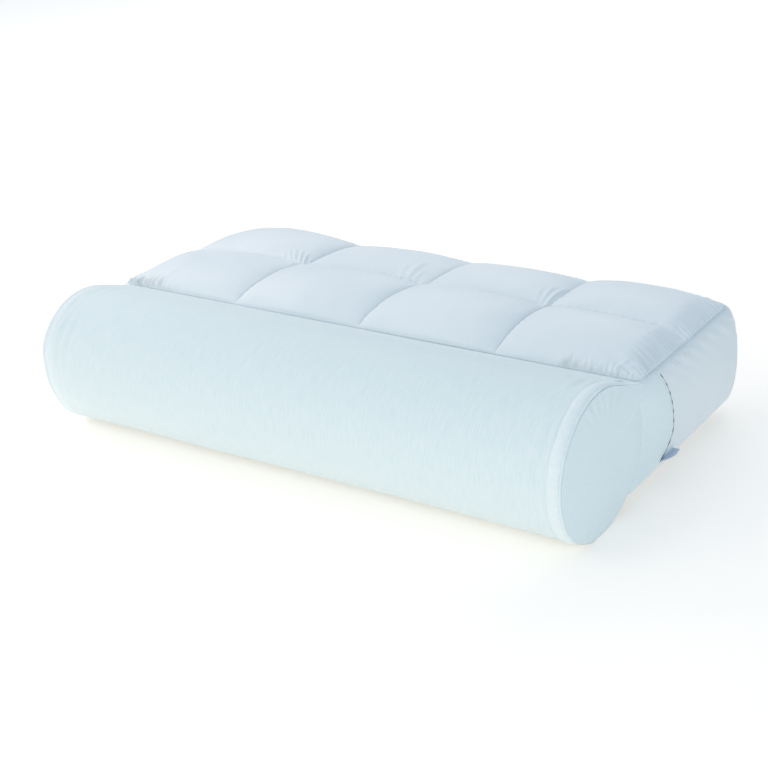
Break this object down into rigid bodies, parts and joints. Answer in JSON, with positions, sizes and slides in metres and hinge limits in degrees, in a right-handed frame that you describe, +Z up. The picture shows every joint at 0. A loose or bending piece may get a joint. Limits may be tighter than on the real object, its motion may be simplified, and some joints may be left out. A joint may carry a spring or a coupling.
{
  "type": "memory foam contour pillow",
  "caption": "Boxed contour pillow with a square-quilted domed top, piped seams and a round neck roll with beaded ends along its front.",
  "frame": {"origin": "bottom centre of the bounding box, on the surface that the pillow lies on", "axes": "+X along the neck roll towards the end with the label, +Y from the roll to the back, +Z up"},
  "size_m": [0.6449, 0.3653, 0.1412],
  "materials": {
    "sateen": "smooth cotton sateen with a soft sheen",
    "knit": "fine matt jersey knit",
    "piping": "fine fabric piping",
    "label": "woven satin label, blank"
  },
  "bodies": {
    "root": {"pillow_body": "sateen", "neck_roll": "knit", "roll_bead_right": "knit", "roll_bead_left": "knit", "top_piping": "piping", "side_label": "label"}
  },
  "joints": []
}
